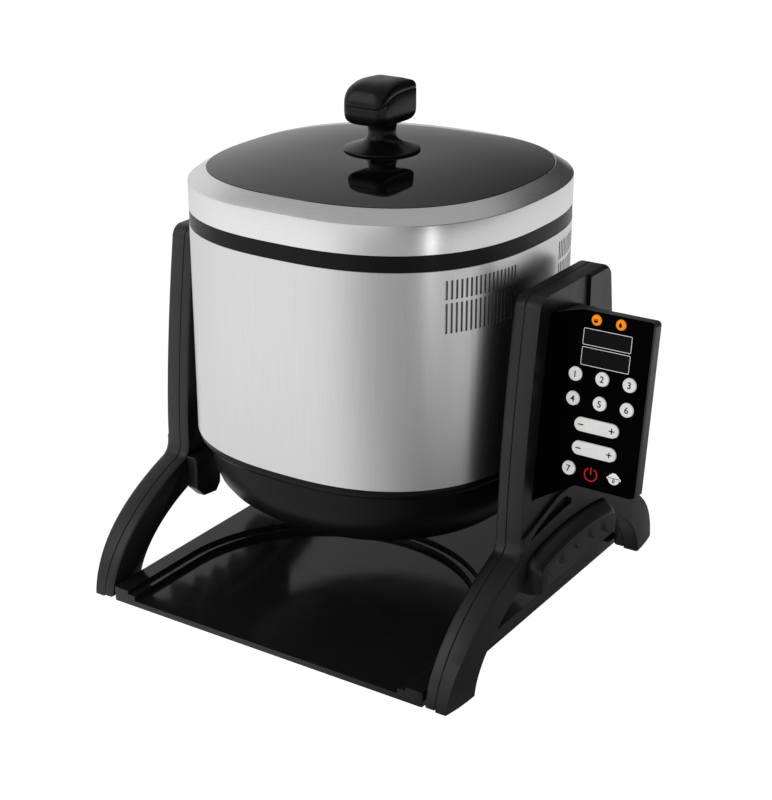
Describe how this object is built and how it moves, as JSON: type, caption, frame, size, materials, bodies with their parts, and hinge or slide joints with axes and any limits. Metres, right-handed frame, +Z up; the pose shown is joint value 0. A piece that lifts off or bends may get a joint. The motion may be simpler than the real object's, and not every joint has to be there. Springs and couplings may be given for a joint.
{
  "type": "tilting stir-fry cooker",
  "caption": "Table-top cooker: a rounded-square steel drum with a dark glass lid tilts between two arched black side stands over a base tray, with a control wing on the right.",
  "frame": {"origin": "on the floor under the middle of the whole machine, control wing included", "axes": "+X to the machine's right, along the drum's tilt axis and towards the control wing; +Y to its back; +Z up"},
  "size_m": [0.495, 0.394, 0.473],
  "materials": {
    "brushed_steel": "fine vertical brushing, satin",
    "lid_metal": "satin, bright",
    "satin_black": "satin, slightly grained",
    "gloss_black": "high gloss",
    "dark_glass": "polished, nearly opaque black",
    "display_window": "polished, dark",
    "white_key": "satin",
    "orange_lens": "translucent lens, lit",
    "rubber": "matte",
    "circuit_board": "solder mask",
    "brass": "turned",
    "coated_pot": "non-stick coating, satin",
    "shaft_steel": "turned",
    "screw_steel": "plated",
    "motor_metal": "plated steel can",
    "heater_metal": "cast",
    "gear_plastic": "moulded"
  },
  "bodies": {
    "base": {"base_tray": "gloss_black", "stand_inner_left": "satin_black", "stand_inner_right": "satin_black", "stand_outer_left": "satin_black", "stand_outer_right": "satin_black", "grip_left": "satin_black", "grip_right": "satin_black", "foot_front_left": "rubber", "foot_front_right": "rubber", "foot_rear_left": "rubber", "foot_rear_right": "rubber", "bush_left": "brass", "bush_right": "brass", "tilt_motor": "motor_metal", "power_board": "circuit_board", "mains_inlet": "satin_black", "panel_housing": "satin_black", "panel_face": "gloss_black", "display_upper": "display_window", "display_lower": "display_window", "lamp_left": "orange_lens", "lamp_right": "orange_lens", "control_board": "circuit_board", "tray_screw_front_left": "screw_steel", "tray_screw_front_right": "screw_steel", "tray_screw_rear_left": "screw_steel", "tray_screw_rear_right": "screw_steel", "cable_cover": "satin_black"},
    "drum": {"trunnion_left": "shaft_steel", "trunnion_right": "shaft_steel", "tilt_gear": "gear_plastic", "steel_jacket": "brushed_steel", "rim_band": "satin_black", "bottom_bowl": "satin_black", "heat_shield": "shaft_steel", "heater": "heater_metal", "thermostat": "brass", "pot_motor": "motor_metal", "fan_frame": "satin_black"},
    "fan": {"fan_rotor": "satin_black"},
    "pinion": {"tilt_pinion": "brass"},
    "pot": {"inner_pot": "coated_pot", "pot_shaft": "shaft_steel"},
    "lid": {"lid_ring": "lid_metal", "lid_glass": "dark_glass", "lid_gasket": "rubber", "knob_body": "satin_black", "knob_cap": "gloss_black", "knob_screw": "screw_steel"},
    "key_1": {"key_1": "white_key"},
    "key_2": {"key_2": "white_key"},
    "key_3": {"key_3": "white_key"},
    "key_4": {"key_4": "white_key"},
    "key_5": {"key_5": "white_key"},
    "key_6": {"key_6": "white_key"},
    "key_7": {"key_7": "white_key"},
    "key_power": {"key_power": "gloss_black"},
    "key_8": {"key_8": "gloss_black"},
    "rocker_heat": {"rocker_heat": "white_key"},
    "rocker_time": {"rocker_time": "white_key"}
  },
  "joints": [
    {"name": "drum_tilt", "type": "hinge", "parent": "base", "child": "drum", "pos_m": [-0.0365, 0, 0.235], "axis": [1, 0, 0], "range_deg": [0, 100]},
    {"name": "pinion_spin", "type": "hinge", "parent": "base", "child": "pinion", "pos_m": [-0.0365, 0, 0.1867], "axis": [1, 0, 0], "range_deg": [-301, 1]},
    {"name": "pot_spin", "type": "hinge", "parent": "drum", "child": "pot", "pos_m": [-0.0365, 0, 0.235], "axis": [0, 0, 1], "continuous": true},
    {"name": "fan_spin", "type": "hinge", "parent": "drum", "child": "fan", "pos_m": [-0.1045, 0, 0.1045], "axis": [0, 0, 1], "continuous": true},
    {"name": "lid_lift", "type": "slide", "parent": "drum", "child": "lid", "axis": [0, 0, 1], "range_m": [0, 0.12]},
    {"name": "key_1_press", "type": "slide", "parent": "base", "child": "key_1", "axis": [0, 0.9919, -0.1271], "range_m": [0, 0.001], "stiffness_N_per_m": 300, "springref_m": -0.0005},
    {"name": "key_2_press", "type": "slide", "parent": "base", "child": "key_2", "axis": [0, 0.9919, -0.1271], "range_m": [0, 0.001], "stiffness_N_per_m": 300, "springref_m": -0.0005},
    {"name": "key_3_press", "type": "slide", "parent": "base", "child": "key_3", "axis": [0, 0.9919, -0.1271], "range_m": [0, 0.001], "stiffness_N_per_m": 300, "springref_m": -0.0005},
    {"name": "key_4_press", "type": "slide", "parent": "base", "child": "key_4", "axis": [0, 0.9919, -0.1271], "range_m": [0, 0.001], "stiffness_N_per_m": 300, "springref_m": -0.0005},
    {"name": "key_5_press", "type": "slide", "parent": "base", "child": "key_5", "axis": [0, 0.9919, -0.1271], "range_m": [0, 0.001], "stiffness_N_per_m": 300, "springref_m": -0.0005},
    {"name": "key_6_press", "type": "slide", "parent": "base", "child": "key_6", "axis": [0, 0.9919, -0.1271], "range_m": [0, 0.001], "stiffness_N_per_m": 300, "springref_m": -0.0005},
    {"name": "key_7_press", "type": "slide", "parent": "base", "child": "key_7", "axis": [0, 0.9919, -0.1271], "range_m": [0, 0.001], "stiffness_N_per_m": 300, "springref_m": -0.0005},
    {"name": "key_power_press", "type": "slide", "parent": "base", "child": "key_power", "axis": [0, 0.9919, -0.1271], "range_m": [0, 0.001], "stiffness_N_per_m": 300, "springref_m": -0.0005},
    {"name": "key_8_press", "type": "slide", "parent": "base", "child": "key_8", "axis": [0, 0.9919, -0.1271], "range_m": [0, 0.001], "stiffness_N_per_m": 300, "springref_m": -0.0005},
    {"name": "rocker_heat_rock", "type": "hinge", "parent": "base", "child": "rocker_heat", "pos_m": [0.2064, -0.04433, 0.21727], "axis": [0, 0.1271, 0.9919], "range_deg": [-2, 2], "stiffness_Nm_per_rad": 0.05},
    {"name": "rocker_time_rock", "type": "hinge", "parent": "base", "child": "rocker_time", "pos_m": [0.2064, -0.04695, 0.19683], "axis": [0, 0.1271, 0.9919], "range_deg": [-2, 2], "stiffness_Nm_per_rad": 0.05}
  ],
  "couplings": [
    {"joint": "pinion_spin", "follows": "drum_tilt", "ratio": -3}
  ]
}
